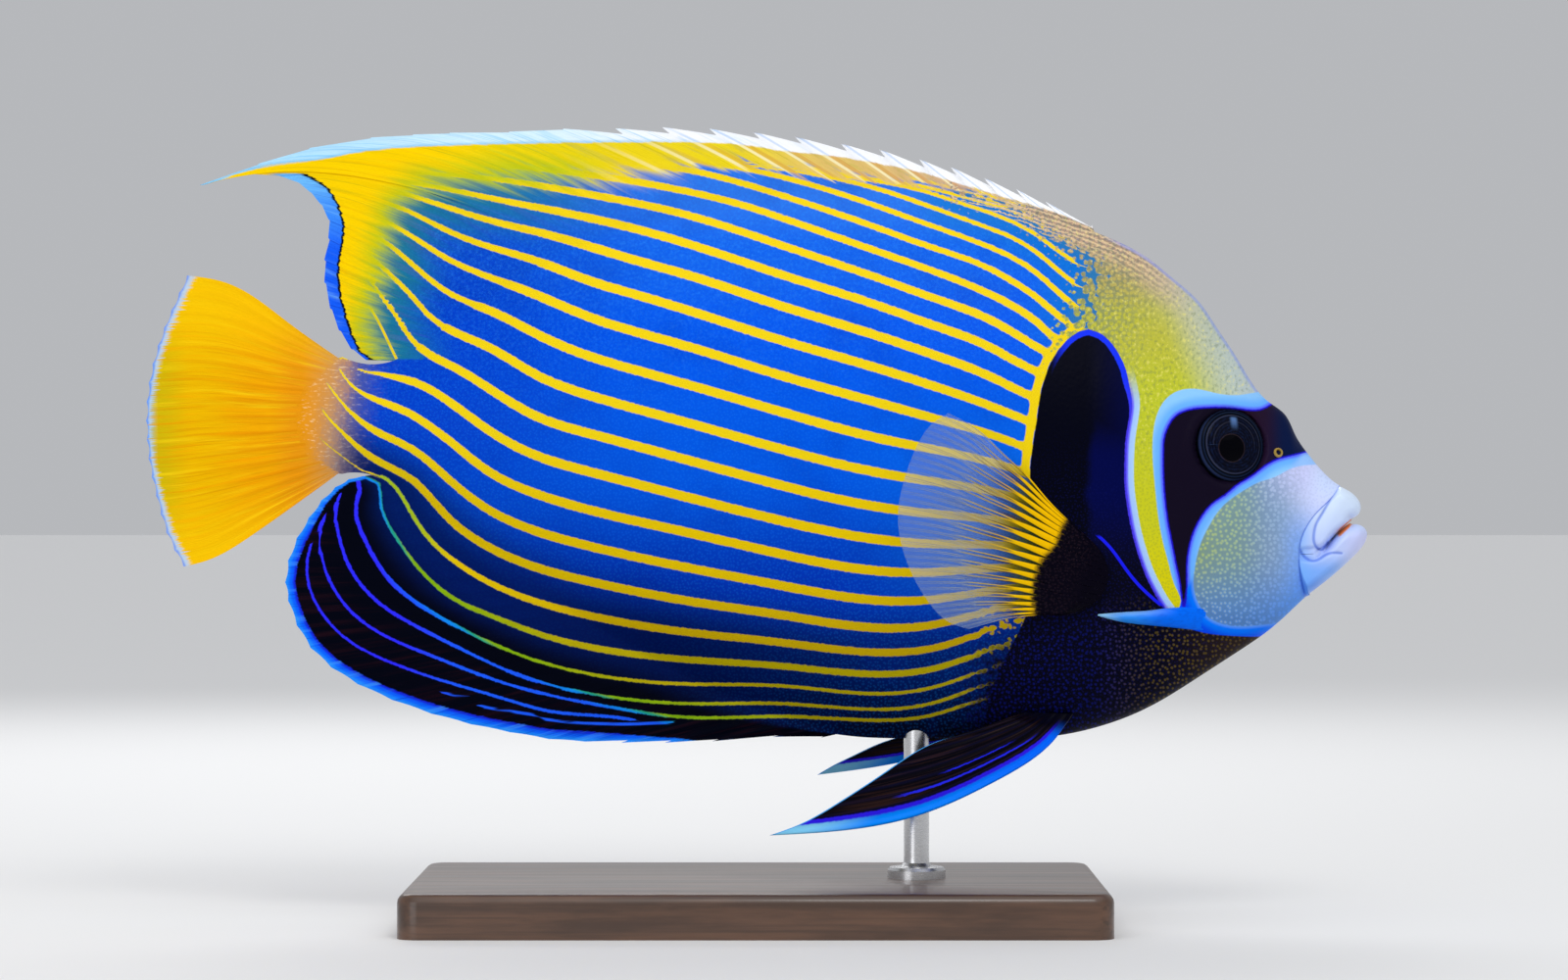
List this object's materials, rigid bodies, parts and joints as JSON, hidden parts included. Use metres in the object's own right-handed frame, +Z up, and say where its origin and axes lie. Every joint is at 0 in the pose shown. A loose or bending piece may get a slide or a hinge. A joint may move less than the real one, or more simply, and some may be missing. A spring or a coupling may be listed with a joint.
{
  "type": "emperor angelfish model",
  "caption": "Life-size adult emperor angelfish in a level swimming pose with spread fins and a slightly open mouth, held by a short steel rod on a flat wooden display base.",
  "frame": {"origin": "centre of the underside of the display base, on the fish's middle plane, midway between snout and tail tip", "axes": "+X towards the snout, +Y towards the fish's left side, +Z up out of the base"},
  "size_m": [0.3363, 0.12, 0.2187],
  "materials": {
    "head": "painted skin, satin, fine granular scales",
    "torso": "painted skin, satin, rows of small scales",
    "tail_stalk": "painted skin, satin, small scales",
    "caudal_fin": "painted membrane, satin",
    "dorsal_fin": "painted membrane, satin",
    "anal_fin": "painted membrane, satin",
    "pectoral_fin": "clear membrane with pale rays",
    "pelvic_fin": "painted membrane, satin",
    "lips": "smooth skin, satin",
    "eye": "glossy, clear over a dark iris",
    "cheek_spine": "smooth, glossy",
    "stand_wood": "dark stained, satin",
    "stand_steel": "brushed"
  },
  "bodies": {
    "root": {"head": "head", "torso": "torso", "tail_stalk": "tail_stalk", "caudal_fin": "caudal_fin", "dorsal_fin": "dorsal_fin", "anal_fin": "anal_fin", "pectoral_fin_right": "pectoral_fin", "pectoral_fin_left": "pectoral_fin", "pelvic_fin_right": "pelvic_fin", "pelvic_fin_left": "pelvic_fin", "upper_lip": "lips", "lower_lip": "lips", "eye_right": "eye", "eye_left": "eye", "cheek_spine_right": "cheek_spine", "cheek_spine_left": "cheek_spine", "stand_base": "stand_wood", "stand_rod": "stand_steel"}
  },
  "joints": []
}
